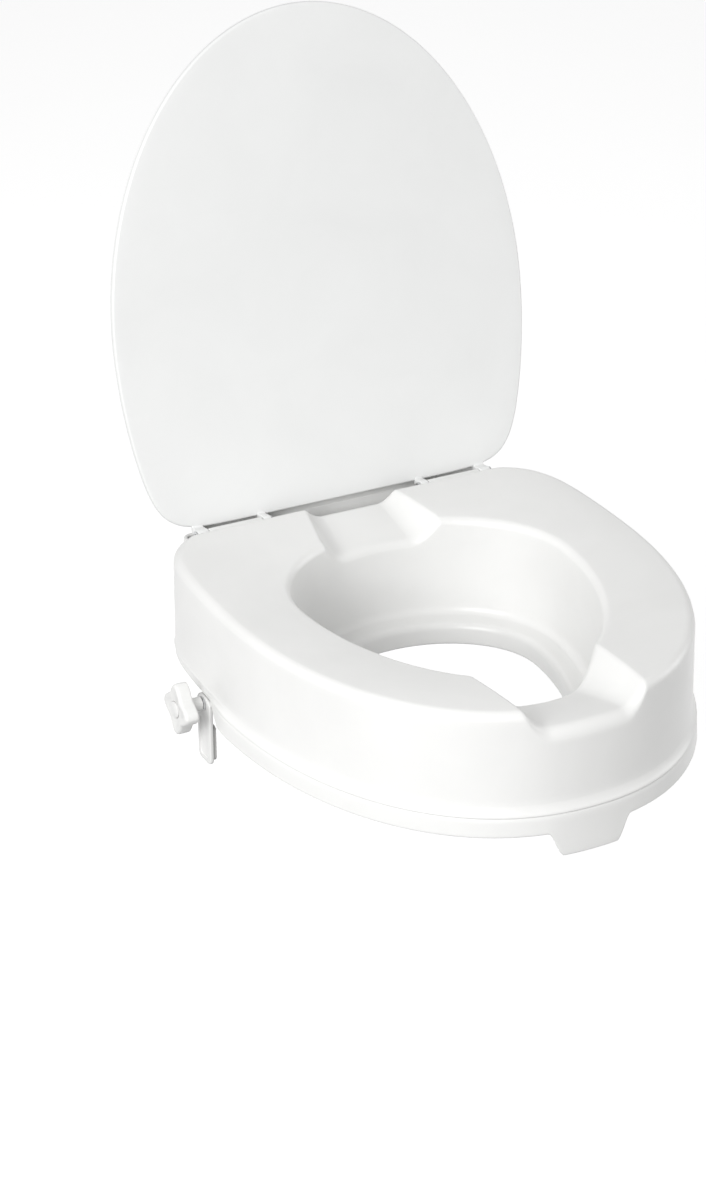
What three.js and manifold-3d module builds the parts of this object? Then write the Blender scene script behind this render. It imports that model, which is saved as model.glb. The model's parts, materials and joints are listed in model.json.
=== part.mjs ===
// Raised toilet seat with a hinged lid and two screw clamps, in millimetres, +Z up.
// The origin is the middle of the plane where the seat rests on the bowl rim.
// The user's side is -Y, the hinge side is +Y, and X runs across the seat.
import * as THREE from 'three';
import { mergeVertices } from 'three/addons/utils/BufferGeometryUtils.js';
import Module from 'manifold-3d';

const wasm = await Module();
wasm.setup();

// ---------------------------------------------------------------- driving dimensions
const RISE = 100;                 // top of the seat above the bowl rim
const WALL = 3.5;                 // moulded wall thickness
const STEP_Z = 12;                // lower edge of the side wall, where the skirt begins
const SKIRT_Z = -5;               // lower edge of the front skirt
const TAB_Z = -26;                // lower edge of the front tab
const THROAT_Z = -11;             // lower edge of the splash guard inside the bowl

// Outlines are superellipses: half width, then front and rear length and roundness.
const SEAT = { half: 185, front: 263, frontN: 2.16, rear: 152, rearN: 5.6, taper: 0.05, midY: 0 };
const HOLE = { half: 122, front: 186, frontN: 1.9, rear: 104, rearN: 2.0, taper: 0, midY: -12 };
const LID = { half: 189.5, front: 261, frontN: 2.0, rear: 159.1, rearN: 11, taper: 0.14, midY: -163 };
const REAR_FACE = 142;            // flat rear of the seat between its corners, at the top crease

// Hygiene recesses, each value at the opening and at the outer edge: half width at the top and
// at the floor, depth, and the y that the value belongs to.
const FRONT_DIP = { top: [56, 52.5], floor: [20, 31], depth: [29, 16.6], at: [-170, -260] };
const REAR_DIP = { top: [53.5, 41], floor: [29, 25], depth: [19, 8], at: [88, 146] };
const SOFT_EDGE = { offset: 2, grow: 0.8 }; // the outer edge is rounder in the front recess

const AXIS = { y: 148, z: 92 };   // lid hinge axis
const LID_OPEN = 100.7;           // degrees from closed to leaning on the rear ledge
const LID_UNDER = 8.6;            // underside of the closed lid above the hinge axis
const LID_EDGE = 7.6;             // thickness of the lid at its edge
const BARREL = { radius: 5, from: 79, to: 128 };
const EAR = { radius: 5.6, inner: 71.4, outer: 138.6, gap: 0.8, root: 14 };
const PIN = { radius: 2.5, from: 70.8, to: 140.4, headRadius: 4.6, headEnd: 69.2 };
const CLIP = { radius: 5, from: 139, to: 139.9 };
const LEDGE = { half: 144.5, back: 169.8, floor: 48, top: 86, corner: 9, lipHalf: 134, lipTop: 98.5 };

// Each clamp is drawn on the +X side and mirrored.
const CLAMP = { y: 30, z: 5, legX: 190, legW: 24, legT: 3.5, legTop: 10.6, legBottom: -49 };
const ARM = { inner: 8.2, outer: 11.7, from: 148, bottom: 1, top: 8.6 };
const JAW_PAD = { width: 20, from: -46, to: -14, thick: 3.8 };
const BOSS = { from: 150, to: 174, half: 7.5, bottom: 0.8, top: 20, slotFrom: 158, slotTo: 165, slotHalf: 5.9 };
const BOLT = { radius: 3, from: 138, to: 207.4, headFlats: 10, headLength: 4 };
const NUT = { from: 159, to: 164, flats: 9.4 };
const WASHER = { from: 190.3, to: 191.5, radius: 6 };
const KNOB = { radius: 23, hollow: 7, back: 203.4, front: 215.4, neck: 6, neckEnd: 191.9 };
const CAP = { radius: 7, seat: 1.6 };

const TAB = { topHalf: 33, bottomHalf: 27, corner: 6 };
const PAD = { ring: 180, centreY: -20, length: 58, width: 21, thick: 3.7, foot: 7 };
const RIB = { thick: 3, bottom: 4, angles: [-62, -48, -34, -6, 40, 54] };
const SKIRT_END = 17;             // the skirt stops here beside the clamps
const SKIRT_ROOT = 3;             // offset of the side wall where the skirt begins
const GAP = 0.35;                 // clearance between neighbouring pieces
const SWEEP_STEPS = 84;           // points round an outline
// Where those points crowd together: degrees from the rear middle, spread and extra density.
const CROWDS = [[22, 12, 0.9], [47, 9, 1], [166, 12, 1.1]];

// ---------------------------------------------------------------- solids
function toManifold(geometry) {
  const bare = geometry.clone();
  for (const name of ['normal', 'uv']) {
    bare.deleteAttribute(name);
  }
  const merged = mergeVertices(bare, 1e-4);
  return new wasm.Manifold(new wasm.Mesh({
    numProp: 3,
    vertProperties: new Float32Array(merged.attributes.position.array),
    triVerts: new Uint32Array(merged.index.array),
  }));
}

function toGeometry(solid) {
  const mesh = solid.getMesh();
  const geometry = new THREE.BufferGeometry();
  geometry.setAttribute('position', new THREE.BufferAttribute(new Float32Array(mesh.vertProperties), 3));
  geometry.setIndex(new THREE.BufferAttribute(new Uint32Array(mesh.triVerts), 1));
  geometry.computeVertexNormals();
  return geometry;
}

function box(x0, x1, y0, y1, z0, z1) {
  const geometry = new THREE.BoxGeometry(x1 - x0, y1 - y0, z1 - z0);
  geometry.translate((x0 + x1) / 2, (y0 + y1) / 2, (z0 + z1) / 2);
  return toManifold(geometry);
}

// A round bar along X, centred on the point (y, z).
function rodX(x0, x1, y, z, radius, sides = 24) {
  const geometry = new THREE.CylinderGeometry(radius, radius, x1 - x0, sides);
  geometry.rotateZ(Math.PI / 2);
  geometry.translate((x0 + x1) / 2, y, z);
  return toManifold(geometry);
}

function extrude(shape, depth, curveSegments = 6) {
  return new THREE.ExtrudeGeometry(shape, { depth, bevelEnabled: false, curveSegments });
}

// The span from a to b on the +X side, or its mirror image, lower end first.
function span(side, a, b) {
  return side > 0 ? [a, b] : [-b, -a];
}

// A plate in the YZ plane, drawn as (y, z), from x0 to x1.
function plateYZ(shape, x0, x1, curveSegments = 6) {
  const geometry = extrude(shape, x1 - x0, curveSegments);
  geometry.applyMatrix4(new THREE.Matrix4().set(0, 0, 1, x0, 1, 0, 0, 0, 0, 1, 0, 0, 0, 0, 0, 1));
  return geometry;
}

function roundedRect(x0, x1, y0, y1, radius) {
  const shape = new THREE.Shape();
  shape.moveTo(x0 + radius, y0);
  shape.lineTo(x1 - radius, y0);
  shape.absarc(x1 - radius, y0 + radius, radius, -Math.PI / 2, 0);
  shape.lineTo(x1, y1 - radius);
  shape.absarc(x1 - radius, y1 - radius, radius, 0, Math.PI / 2);
  shape.lineTo(x0 + radius, y1);
  shape.absarc(x0 + radius, y1 - radius, radius, Math.PI / 2, Math.PI);
  shape.lineTo(x0, y0 + radius);
  shape.absarc(x0 + radius, y0 + radius, radius, Math.PI, 1.5 * Math.PI);
  return shape;
}

// ---------------------------------------------------------------- outlines
const clamp01 = (value) => Math.min(1, Math.max(0, value));
const mix = (a, b, t) => a + (b - a) * t;

// The point of an outline in the direction of an angle, moved outward by an offset.
function outlinePoint(outline, angle, offset) {
  const c = Math.cos(angle);
  const s = Math.sin(angle);
  const n = s < 0 ? outline.frontN : outline.rearN;
  const width = outline.half + offset;
  const length = (s < 0 ? outline.front : outline.rear) + offset;
  const taper = s < 0 ? 0 : outline.taper;
  const reach = (Math.abs(c / width) ** n + Math.abs(s / length) ** n) ** (-1 / n);
  const narrowing = 1 - taper * (reach * s / length) ** 2;
  return [reach * c * narrowing, reach * s + outline.midY];
}

function seatPoint(angle, offset) {
  const [x, y] = outlinePoint(SEAT, angle, offset);
  return [x, Math.min(y, REAR_FACE + offset)];
}

// Angles round an outline, closest together at the rear corners and at both recesses.
function sweepAngles() {
  const step = 0.25;
  const sums = [0];
  for (let turn = step / 2; turn < 360; turn += step) {
    const fromRear = Math.min(turn, 360 - turn);
    const density = CROWDS.reduce((sum, [at, spread, extra]) =>
      sum + extra * Math.exp(-(((fromRear - at) / spread) ** 2)), 0.75);
    sums.push(sums.at(-1) + density);
  }
  const angles = [];
  let k = 0;
  for (let i = 0; i < SWEEP_STEPS; i += 1) {
    const wanted = (i / SWEEP_STEPS) * sums.at(-1);
    while (sums[k + 1] <= wanted) {
      k += 1;
    }
    const part = (wanted - sums[k]) / (sums[k + 1] - sums[k]);
    angles.push(THREE.MathUtils.degToRad(90 + (k + part) * step));
  }
  return angles;
}

const SWEEP = sweepAngles();

// Closed surface through rings of points: rings[i][j] is point j of ring i.
// The rings join up into a hoop, or are capped at both ends by their middle points.
function ringSurface(rings, hoop) {
  const count = rings[0].length;
  const positions = rings.flat(2);
  const index = [];
  const strips = hoop ? rings.length : rings.length - 1;
  for (let i = 0; i < strips; i += 1) {
    const a = i * count;
    const b = ((i + 1) % rings.length) * count;
    for (let j = 0; j < count; j += 1) {
      const k = (j + 1) % count;
      index.push(a + j, a + k, b + k, a + j, b + k, b + j);
    }
  }
  if (!hoop) {
    const last = rings.length - 1;
    for (const [ring, start, flip] of [[rings[0], 0, true], [rings[last], last * count, false]]) {
      const middle = positions.length / 3;
      const mean = [0, 1, 2].map((axis) => ring.reduce((sum, point) => sum + point[axis], 0) / count);
      positions.push(...mean);
      for (let j = 0; j < count; j += 1) {
        const k = (j + 1) % count;
        index.push(...(flip ? [middle, start + k, start + j] : [middle, start + j, start + k]));
      }
    }
  }
  const geometry = new THREE.BufferGeometry();
  geometry.setAttribute('position', new THREE.BufferAttribute(new Float32Array(positions), 3));
  geometry.setIndex(index);
  return geometry;
}

// ---------------------------------------------------------------- seat shell
// Depth of the hygiene recesses: a crisp upper edge and a soft floor.
function dipDepth(x, y) {
  const { top, floor, depth, at } = y < 0 ? FRONT_DIP : REAR_DIP;
  const out = clamp01((y - at[0]) / (at[1] - at[0]));
  const topHalf = mix(...top, out);
  const s = clamp01((topHalf - Math.abs(x)) / (topHalf - mix(...floor, out)));
  return y < -130 || y > 40 ? mix(...depth, out) * (1 - (1 - s) ** 2) : 0;
}

// How far the skirt flares: it ends beside the clamps.
function flareShare(y) {
  return clamp01((30 - y) / 40);
}

// Section of the shell: [outline, offset, height], inside face of the opening first.
const CAVITY_TOP = RISE - WALL;
const SECTION_OUTSIDE = [
  ['hole', -27, THROAT_Z], ['hole', -26, 3], ['hole', -23.2, 7.6], ['hole', -13, 11],
  ['hole', -7, 19], ['hole', -5.2, 34], ['hole', -2.6, 80], ['hole', -1.6, 90.5], ['hole', 0.6, 95],
  ['between', 0.3, 98], ['seat', -0.8, RISE], ['seat', 1.2, 98], ['seat', 2, 95],
  ['seat', 2.8, STEP_Z + 8], ['seat', 3.8, STEP_Z + 4], ['seat', 6, STEP_Z + 1.4], ['seat', 6.2, STEP_Z],
  ['seat', 7.4, SKIRT_Z],
];
const SECTION_INSIDE = [
  ['seat', 7.4 - WALL, SKIRT_Z], ['seat', 3 - WALL, STEP_Z - 2], ['seat', 2 - WALL, 92],
  ['seat', -5, CAVITY_TOP], ['between', 0.3, CAVITY_TOP - 2], ['hole', 5, CAVITY_TOP - 5],
  ['hole', 0.9, 80], ['hole', -1.7, 33], ['hole', -3.8, 17], ['hole', -11, 8], ['hole', -22.3, 4],
  ['hole', -23.5, THROAT_Z],
];
// Outline of the space that the ribs may fill, from the inside of one wall to the other.
const SECTION_RIBS = [
  ['hole', -23.4, RIB.bottom], ['hole', -21, 6.2], ['hole', -12, 9.6], ['hole', -5.2, 18.6],
  ['hole', -3.4, 34], ['hole', -1, 82], ['hole', 3, 92.6], ['between', 0.3, CAVITY_TOP - 0.4], ['seat', -1.6, CAVITY_TOP + 1], ['seat', 0.2, 92],
  ['seat', 1.2, RIB.bottom],
];

// Share of the front recess at its outer edge, 1 in the middle.
function softShare(x, y) {
  return y < 0 ? dipDepth(x, FRONT_DIP.at[1]) / FRONT_DIP.depth[1] : 0;
}

function sectionPoint([kind, offset, level], angle) {
  let x;
  let y;
  let height = level;
  if (kind === 'hole') {
    [x, y] = outlinePoint(HOLE, angle, offset);
  } else if (kind === 'seat') {
    [x, y] = seatPoint(angle, offset);
    if (height < STEP_Z + 5 && offset > SKIRT_ROOT) {
      [x, y] = seatPoint(angle, mix(SKIRT_ROOT, offset, flareShare(y)));
    } else if (height > RISE - 9) {
      const soft = SOFT_EDGE.grow * softShare(x, y);
      [x, y] = seatPoint(angle, SOFT_EDGE.offset - (SOFT_EDGE.offset - offset) * (1 + soft * 0.9));
      height -= (RISE - height) * soft;
    }
  } else {
    const a = outlinePoint(HOLE, angle, 0);
    const b = seatPoint(angle, 0);
    x = mix(a[0], b[0], offset);
    y = mix(a[1], b[1], offset);
  }
  const sink = clamp01((height - 44) / (90 - 44));
  return [x, y, height - dipDepth(x, y) * sink];
}

function sweptSection(section) {
  const rings = section.map((place) => SWEEP.map((angle) => sectionPoint(place, angle)));
  return ringSurface(rings.reverse(), true);
}

// The skirt is cut away behind a slanted end beside each clamp.
function rearOfSkirt() {
  const side = new THREE.Shape([[SKIRT_END, STEP_Z - 0.7], [SKIRT_END - 15, SKIRT_Z - 1], [200, SKIRT_Z - 1],
    [200, STEP_Z - 0.7]].map(([y, z]) => new THREE.Vector2(y, z)));
  return toManifold(plateYZ(side, -220, 220)).subtract(box(-125, 125, -50, 108, -30, 30));
}

// Radial stiffening ribs under the top, cut to the inside of the shell.
function shellRibs() {
  const space = toManifold(sweptSection(SECTION_RIBS));
  const bars = [];
  for (const side of [-1, 1]) {
    for (const degrees of RIB.angles) {
      const rib = new THREE.BoxGeometry(260, RIB.thick, 120);
      rib.translate(170, 0, 60);
      rib.rotateZ(THREE.MathUtils.degToRad(degrees));
      rib.translate(0, PAD.centreY, 0);
      const solid = toManifold(rib);
      bars.push(side > 0 ? solid : solid.mirror([1, 0, 0]));
    }
    for (const y of [CLAMP.y - 6, CLAMP.y + 6]) {
      bars.push(box(...span(side, 100, 200), y - RIB.thick / 2, y + RIB.thick / 2, BOSS.top - 6, 120));
    }
  }
  return wasm.Manifold.union(bars).intersect(space);
}

// Feet that carry the rubber pads, across each pair of ribs.
const PAD_PLACES = [-48, 47, 133, 228].map((degrees) => {
  const angle = THREE.MathUtils.degToRad(degrees);
  return { angle, x: PAD.ring * Math.cos(angle), y: PAD.centreY + PAD.ring * Math.sin(angle) };
});

function padBlock(place, along, across, z0, z1) {
  const shape = roundedRect(-across / 2, across / 2, -along / 2, along / 2, 5);
  const geometry = extrude(shape, z1 - z0, 4);
  geometry.rotateZ(place.angle);
  geometry.translate(place.x, place.y, z0);
  return geometry;
}

// Block under the shell that holds the captive nut of a clamp.
function clampBoss(side) {
  const body = box(...span(side, BOSS.from, BOSS.to), CLAMP.y - BOSS.half, CLAMP.y + BOSS.half,
    BOSS.bottom, BOSS.top);
  const bore = rodX(-230, 230, CLAMP.y, CLAMP.z, BOLT.radius + GAP, 16);
  const nutSlot = box(...span(side, BOSS.slotFrom, BOSS.slotTo), CLAMP.y - BOSS.slotHalf,
    CLAMP.y + BOSS.slotHalf, -1, CLAMP.z + NUT.flats / 2 + GAP);
  return body.subtract(bore).subtract(nutSlot);
}

// Ledge behind the seat that the open lid leans on, with the hinge trough in front of it.
function hingeLedge() {
  const { half, back, floor, top, corner, lipHalf, lipTop } = LEDGE;
  const outer = toManifold(extrude(roundedRect(-half, half, 120, back, corner), top - floor, 4));
  const inner = roundedRect(WALL - half, half - WALL, 110, back - WALL, corner - WALL + 0.5);
  const trough = toManifold(extrude(inner, 40, 4));
  const lip = box(-lipHalf, lipHalf, back - WALL, back, top - 2, lipTop);
  const behindWall = box(-150, 150, REAR_FACE + 1, 175, floor, RISE + 5);
  return outer.translate([0, 0, floor]).subtract(trough.translate([0, 0, floor + 4])).add(lip)
    .intersect(behindWall);
}

// Shallow recesses in the rear wall that clear the lid's ears and the ends of the pins.
function earReliefs() {
  const cuts = [];
  for (const side of [-1, 1]) {
    for (const [a, b] of [[PIN.headEnd, BARREL.from], [BARREL.to, PIN.to]]) {
      const along = span(side, a - EAR.gap, b + EAR.gap);
      cuts.push(rodX(...along, AXIS.y, AXIS.z, EAR.radius + EAR.gap, 24));
      cuts.push(box(...along, REAR_FACE, AXIS.y, AXIS.z, RISE + 1));
    }
  }
  return wasm.Manifold.union(cuts);
}

function hingeBarrel(side) {
  const along = span(side, BARREL.from, BARREL.to);
  const bridge = box(...along, REAR_FACE - 1, AXIS.y, AXIS.z - BARREL.radius, AXIS.z + BARREL.radius);
  return rodX(...along, AXIS.y, AXIS.z, BARREL.radius, 32).add(bridge);
}

// Tab hanging from the middle of the front skirt.
function frontTab() {
  const { topHalf, bottomHalf, corner } = TAB;
  const shape = new THREE.Shape();
  shape.moveTo(-topHalf, 0);
  shape.lineTo(-bottomHalf - 1, TAB_Z + corner);
  shape.quadraticCurveTo(-bottomHalf, TAB_Z, -bottomHalf + corner, TAB_Z);
  shape.lineTo(bottomHalf - corner, TAB_Z);
  shape.quadraticCurveTo(bottomHalf, TAB_Z, bottomHalf + 1, TAB_Z + corner);
  shape.lineTo(topHalf, 0);
  const prism = extrude(shape, 60);
  prism.rotateX(Math.PI / 2);
  prism.translate(0, -230, 0);
  const ring = ringSurface([[7.4, TAB_Z - 1], [7.4, 1], [7.4 - WALL, 1], [7.4 - WALL, TAB_Z - 1]]
    .map(([offset, z]) => SWEEP.map((angle) => [...seatPoint(angle, offset), z])), true);
  return toManifold(ring).intersect(toManifold(prism));
}

function seatShell() {
  let solid = toManifold(sweptSection([...SECTION_OUTSIDE, ...SECTION_INSIDE])).subtract(rearOfSkirt());
  solid = solid.add(shellRibs()).add(frontTab()).add(hingeLedge());
  for (const place of PAD_PLACES) {
    const foot = padBlock(place, PAD.length + 6, PAD.width + 5, RIB.bottom, PAD.foot);
    solid = solid.add(toManifold(foot));
  }
  solid = solid.subtract(earReliefs());
  for (const side of [-1, 1]) {
    solid = solid.add(clampBoss(side)).add(hingeBarrel(side));
  }
  return solid.subtract(rodX(-142, 142, AXIS.y, AXIS.z, PIN.radius + GAP, 16));
}

// ---------------------------------------------------------------- lid, drawn closed
function lidRings(levels) {
  return levels.map(([offset, scale, z]) => SWEEP.map((angle) => {
    const [x, y] = outlinePoint(LID, angle, offset);
    return [x * scale, LID.midY + (y - LID.midY) * scale, z];
  }));
}

function lidPanel() {
  const top = LID_UNDER + LID_EDGE;
  const levels = [
    [0, 0.4, LID_UNDER + 1], [-2, 1, LID_UNDER], [-0.5, 1, LID_UNDER + 0.6], [0, 1, LID_UNDER + 2],
    [0, 1, top - 3], [-3, 1, top],
    [-30, 1, top + 1.5], [0, 0.4, top + 3],
  ];
  let solid = toManifold(ringSurface(lidRings(levels), false));
  for (const side of [-1, 1]) {
    const ears = [[EAR.inner, BARREL.from - EAR.gap], [BARREL.to + EAR.gap, EAR.outer]];
    for (const ear of ears.map(([a, b]) => span(side, a, b))) {
      const stem = box(...ear, -EAR.radius, -0.6, 0, LID_UNDER + 3);
      const root = box(...ear, -EAR.root, -1, LID_UNDER, LID_UNDER + 3);
      solid = solid.add(rodX(...ear, 0, 0, EAR.radius, 24)).add(stem).add(root);
    }
  }
  return solid.subtract(rodX(-142, 142, 0, 0, PIN.radius + GAP, 16));
}

// ---------------------------------------------------------------- hinge hardware
function hingePin(side) {
  const rod = rodX(...span(side, PIN.from, PIN.to), AXIS.y, AXIS.z, PIN.radius, 16);
  return rod.add(rodX(...span(side, PIN.headEnd, PIN.from + 0.1), AXIS.y, AXIS.z, PIN.headRadius, 20));
}

function pinClip(side) {
  return rodX(...span(side, CLIP.from, CLIP.to), AXIS.y, AXIS.z, CLIP.radius, 20)
    .subtract(rodX(-150, 150, AXIS.y, AXIS.z, PIN.radius + 0.3, 16));
}

// ---------------------------------------------------------------- clamps, drawn on the +X side
function clampJaw() {
  const { y, z, legX, legW, legT, legTop, legBottom } = CLAMP;
  const leg = plateYZ(roundedRect(y - legW / 2, y + legW / 2, legBottom, legTop, 6), legX - legT, legX, 5);
  let solid = toManifold(leg);
  for (const side of [-1, 1]) {
    const [y0, y1] = span(side, ARM.inner, ARM.outer);
    solid = solid.add(box(ARM.from, legX - 1, y + y0, y + y1, ARM.bottom, ARM.top));
  }
  return solid.subtract(rodX(180, 200, y, z, BOLT.radius + GAP, 16));
}

function jawPad() {
  const { y, legX, legT } = CLAMP;
  const { width, from, to, thick } = JAW_PAD;
  const face = legX - legT - 0.3;
  return toManifold(plateYZ(roundedRect(y - width / 2, y + width / 2, from, to, 4), face - thick, face, 4));
}

// A hexagon bar with flats above and below.
function hexPrism(x0, x1, acrossFlats) {
  return rodX(x0, x1, 0, 0, acrossFlats / 2 / Math.cos(Math.PI / 6), 6).rotate([30, 0, 0])
    .translate([0, CLAMP.y, CLAMP.z]);
}

function clampBolt() {
  return rodX(BOLT.from, BOLT.to, CLAMP.y, CLAMP.z, BOLT.radius, 16)
    .add(hexPrism(BOLT.to - 0.1, BOLT.to + BOLT.headLength, BOLT.headFlats));
}

function clampNut() {
  return hexPrism(NUT.from, NUT.to, NUT.flats).subtract(rodX(150, 170, CLAMP.y, CLAMP.z, BOLT.radius + 0.3, 16));
}

function clampWasher() {
  return rodX(WASHER.from, WASHER.to, CLAMP.y, CLAMP.z, WASHER.radius, 24)
    .subtract(rodX(180, 200, CLAMP.y, CLAMP.z, BOLT.radius + GAP, 16));
}

// Four-lobed hand knob with a hexagon pocket for the bolt head.
function clampKnob() {
  const outline = [];
  const steps = 48;
  for (let i = 0; i < steps; i += 1) {
    const angle = (i / steps) * 2 * Math.PI;
    const reach = KNOB.radius - KNOB.hollow * Math.abs(Math.sin(2 * angle)) ** 1.6;
    outline.push(new THREE.Vector2(CLAMP.y + reach * Math.cos(angle), CLAMP.z + reach * Math.sin(angle)));
  }
  const { y, z } = CLAMP;
  return toManifold(plateYZ(new THREE.Shape(outline), KNOB.back, KNOB.front))
    .add(rodX(KNOB.neckEnd, KNOB.back + 1, y, z, KNOB.neck, 24))
    .subtract(rodX(180, 230, y, z, BOLT.radius + GAP, 16))
    .subtract(hexPrism(BOLT.to - GAP, 230, BOLT.headFlats + 0.8))
    .subtract(rodX(KNOB.front - CAP.seat, 230, y, z, CAP.radius + 0.4, 24));
}

function knobCap() {
  const profile = [[0, 0], [CAP.radius, 0], [CAP.radius, 1.4], [CAP.radius - 1.6, 2.2], [0, 2.6]]
    .map(([r, h]) => new THREE.Vector2(r, h));
  const geometry = new THREE.LatheGeometry(profile, 24);
  geometry.rotateZ(-Math.PI / 2);
  geometry.translate(KNOB.front - CAP.seat + 0.3, CLAMP.y, CLAMP.z);
  return toManifold(geometry);
}

// ---------------------------------------------------------------- the object
const MATERIALS = {
  shell: { color: 0xf2f2f0, roughness: 0.32, metalness: 0 },
  rubber: { color: 0xd9d9d6, roughness: 0.8, metalness: 0 },
  steel: { color: 0xb9bcc0, roughness: 0.35, metalness: 1 },
};

const object = new THREE.Group();

function addMesh(parent, name, geometry, finish) {
  const mesh = new THREE.Mesh(geometry, new THREE.MeshStandardMaterial(MATERIALS[finish]));
  mesh.name = name;
  parent.add(mesh);
}

addMesh(object, 'seat_shell', toGeometry(seatShell()), 'shell');

const lid = new THREE.Group();
lid.position.set(0, AXIS.y, AXIS.z);
lid.rotation.x = -THREE.MathUtils.degToRad(LID_OPEN);
addMesh(lid, 'lid', toGeometry(lidPanel()), 'shell');
object.add(lid);

for (const [name, side] of [['left', -1], ['right', 1]]) {
  addMesh(object, `hinge_pin_${name}`, toGeometry(hingePin(side)), 'steel');
  addMesh(object, `hinge_clip_${name}`, toGeometry(pinClip(side)), 'steel');
}

for (const [i, name] of ['front_right', 'rear_right', 'rear_left', 'front_left'].entries()) {
  addMesh(object, `rim_pad_${name}`, padBlock(PAD_PLACES[i], PAD.length, PAD.width, 0, PAD.thick), 'rubber');
}

const CLAMP_PIECES = {
  clamp_jaw: [clampJaw, 'shell'],
  jaw_pad: [jawPad, 'rubber'],
  clamp_bolt: [clampBolt, 'steel'],
  clamp_nut: [clampNut, 'steel'],
  clamp_washer: [clampWasher, 'steel'],
  clamp_knob: [clampKnob, 'shell'],
  knob_cap: [knobCap, 'shell'],
};
for (const [piece, [make, finish]] of Object.entries(CLAMP_PIECES)) {
  const solid = make();
  addMesh(object, `${piece}_right`, toGeometry(solid), finish);
  addMesh(object, `${piece}_left`, toGeometry(solid.mirror([1, 0, 0])), finish);
}

export default object;
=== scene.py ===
"""Raised toilet seat with its lid open: the visible pieces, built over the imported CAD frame.

Shapes are worked out in millimetres in the row frame and written to meshes in metres.
The user's side is -Y, the hinge side is +Y and Z is up from the bowl rim.
"""

import json
import math

import bmesh
import bpy
import numpy as np
from mathutils import Matrix, Vector


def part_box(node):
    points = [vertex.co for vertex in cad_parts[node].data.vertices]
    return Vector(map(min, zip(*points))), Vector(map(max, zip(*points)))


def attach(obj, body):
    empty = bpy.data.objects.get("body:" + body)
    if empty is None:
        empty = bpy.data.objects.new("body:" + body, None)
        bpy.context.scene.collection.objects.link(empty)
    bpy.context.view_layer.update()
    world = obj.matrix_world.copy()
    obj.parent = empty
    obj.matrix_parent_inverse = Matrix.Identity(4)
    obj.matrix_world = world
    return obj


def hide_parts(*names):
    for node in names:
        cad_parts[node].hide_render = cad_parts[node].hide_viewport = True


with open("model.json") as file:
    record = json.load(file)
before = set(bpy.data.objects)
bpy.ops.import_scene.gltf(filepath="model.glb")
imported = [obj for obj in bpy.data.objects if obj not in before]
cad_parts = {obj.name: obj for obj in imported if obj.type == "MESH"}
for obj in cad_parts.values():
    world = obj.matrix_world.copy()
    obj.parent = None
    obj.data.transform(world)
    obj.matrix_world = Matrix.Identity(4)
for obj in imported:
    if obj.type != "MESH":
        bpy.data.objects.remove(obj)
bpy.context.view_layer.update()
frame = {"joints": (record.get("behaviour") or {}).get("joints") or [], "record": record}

MM = 0.001
JOINTS = {joint["name"]: joint for joint in frame["joints"]}


def node_box(node):
    """Lowest and highest corner of a CAD node, in millimetres."""
    low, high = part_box(node)
    return np.array(low) / MM, np.array(high) / MM


def axis_of(joint):
    """Where a joint's axis crosses the y, z plane, in millimetres."""
    return np.array(JOINTS[joint]["pos_m"][1:]) / MM


# ---------------------------------------------------------------- driving dimensions
RISE = 100.0
WALL = 3.5
STEP_Z = 12.0
SKIRT_Z = -5.0
THROAT_Z = -11.0
TAB_Z = node_box("seat_shell")[0][2]
FLARE = 7.4
SKIRT_ROOT = 3.0                   # offset of the side wall where the skirt begins
STEP_ROOT = 2.8                    # and where the step begins
STEP_TOP = 21.0                    # height where the side wall starts to curve out to the step
EDGE_START = -5.6                  # offset where the top face starts to round over
EDGE_OFFSET = 2.15                 # offset of the side wall just under its rounded upper edge
EDGE_DROP = 7.6                    # height of that rounding
CAVITY_TOP = RISE - WALL

# Outlines are superellipses: half width, then front and rear length and roundness.
SEAT = {"half": 185, "front": 263, "front_n": 2.16, "rear": 152, "rear_n": 5.6, "taper": 0.05, "mid_y": 0}
HOLE = {"half": 122, "front": 186, "front_n": 1.9, "rear": 104, "rear_n": 2.0, "taper": 0, "mid_y": -12}
LID = {"half": 189.5, "front": 261, "front_n": 2.0, "rear": 159.1, "rear_n": 11, "taper": 0.14,
       "mid_y": -163}
REAR_FACE = 142.0                  # y where the seat's outline is cut flat
AROUND_SEAT = 560                  # points in each ring of the shell
AROUND_LID = 420
# Hygiene recesses, each value at the opening and at the outer edge: half width at the top and
# at the floor, depth, and the y that the value belongs to.
FRONT_DIP = {"top": (56, 52.5), "floor": (20, 31), "depth": (29, 16.6), "at": (-170, -260)}
REAR_DIP = {"top": (53.5, 41), "floor": (29, 25), "depth": (19, 8), "at": (88, 146)}
SOFT_GROW = 0.45                   # how much rounder the outer edge is in the front recess

# Hinge. Pairs are distances from the middle to the two ends along X.
AXIS_Y, AXIS_Z = axis_of("lid_hinge")
LID_OPEN = math.radians(JOINTS["lid_hinge"]["range_deg"][1])
LID_UNDER = 8.6                    # height of the closed lid's underside above the hinge axis
LID_EDGE = 7.6
BARREL = (79.0, 128.0)
BARREL_RADIUS = 5.0
EARS = ((71.4, 78.2), (128.8, 138.6))
EAR_RADIUS = 5.6
EAR_GAP = 0.8                      # clearance of the notches in the seat that the lid's eyes turn in
PIN_ENDS = ((68.4, 70.8), (139.2, 141.2))
PIN_RADIUS = 2.5
PIN_BORE = 2.85
LEDGE = {"half": 144.5, "back": 169.8, "corner": 9.0, "floor": 48.0, "top": 86.0, "lip_half": 134.0,
         "lip_top": 98.5, "lip_inset": 0.4}

# Ribs, feet and pads. Angles are in degrees about RIB_CENTRE, from +X towards +Y.
SIDES = {"left": -1, "right": 1}
RIB_CENTRE = np.array([0.0, -20.0])
RIB_ANGLES = (-62, -48, -34, -6, 40, 54)
RIB_THICK = 3.0
PAD_RING = 180.0
PAD_ANGLES = {"front_right": -48, "rear_right": 47, "rear_left": 133, "front_left": 228}
PAD_SIZE = (58, 21)
FOOT_SIZE = (64, 26)

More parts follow.
